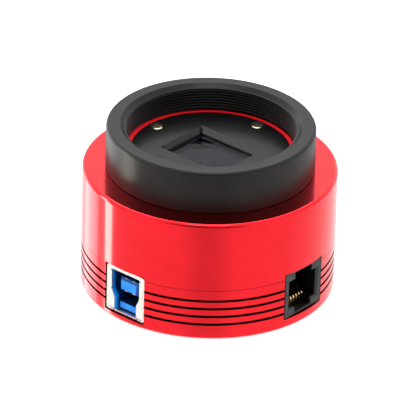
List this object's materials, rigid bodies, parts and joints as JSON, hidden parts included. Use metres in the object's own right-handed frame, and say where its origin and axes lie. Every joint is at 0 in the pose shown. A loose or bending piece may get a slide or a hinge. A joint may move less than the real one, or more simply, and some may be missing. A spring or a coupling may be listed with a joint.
{
  "type": "astronomy camera",
  "caption": "Small round camera for a telescope: two-part finned metal body, screw-on nose collar, sensor behind a recessed window, USB socket and guide port in its side.",
  "frame": {"origin": "centre of the rear face, which is the bottom when the camera stands with its opening up", "axes": "+Z forward along the optical axis, -Y the side with the USB socket, +X the side with the guide port"},
  "size_m": [0.062, 0.062, 0.042],
  "materials": {
    "red_anodised": "satin anodised, bead-blasted",
    "black_anodised": "satin black anodised",
    "black_anodised_fine": "matte black anodised",
    "stainless": "bright turned",
    "screw_nickel": "bright nickel",
    "seal_rubber": "matte",
    "coated_glass": "anti-reflection coated",
    "package_ceramic": "matte",
    "sensor_silicon": "polished",
    "board_black": "solder mask",
    "capacitor_ceramic": "matte",
    "tinned_steel": "tin plated, satin",
    "blue_plastic": "moulded",
    "gold_plate": "gold plated",
    "black_plastic": "moulded",
    "chip_epoxy": "matte moulded",
    "thermal_silicone": "soft matte",
    "ferrite_grey": "matte",
    "connector_plastic": "moulded"
  },
  "bodies": {
    "camera_body": {"front_housing": "red_anodised", "rear_housing": "red_anodised", "tripod_insert": "stainless", "chamber_cover": "black_anodised_fine", "protect_window": "coated_glass", "window_gasket": "seal_rubber", "sensor_chamber_seal": "seal_rubber", "sensor_package": "package_ceramic", "sensor_die": "sensor_silicon", "sensor_lid": "coated_glass", "sensor_board": "board_black", "sensor_board_capacitors": "capacitor_ceramic", "cover_screws": "screw_nickel", "sensor_board_screws": "stainless", "housing_screws": "stainless", "usb_socket_shell": "tinned_steel", "usb_socket_insulator": "blue_plastic", "usb_contacts": "gold_plate", "guide_port_housing": "black_plastic", "guide_port_contacts": "gold_plate", "main_board": "board_black", "usb_controller_chip": "chip_epoxy", "controller_thermal_pad": "thermal_silicone", "frame_memory_chip": "chip_epoxy", "flash_memory_chip": "chip_epoxy", "guide_optocouplers": "chip_epoxy", "crystal_oscillator": "tinned_steel", "power_inductors": "ferrite_grey", "board_capacitors": "capacitor_ceramic", "board_connector_socket": "connector_plastic", "board_connector_plug": "connector_plastic"},
    "collar_lift": {"collar_seal_ring": "seal_rubber"},
    "collar": {"front_collar": "black_anodised"}
  },
  "joints": [
    {"name": "collar_rise", "type": "slide", "parent": "camera_body", "child": "collar_lift", "axis": [0, 0, 1], "range_m": [0, 0.00301]},
    {"name": "collar_turn", "type": "hinge", "parent": "collar_lift", "child": "collar", "pos_m": [0, 0, 0.0365], "axis": [0, 0, 1], "range_deg": [0, 1440]}
  ],
  "couplings": [
    {"joint": "collar_rise", "follows": "collar_turn", "m_per_rad": 0.00011937}
  ]
}
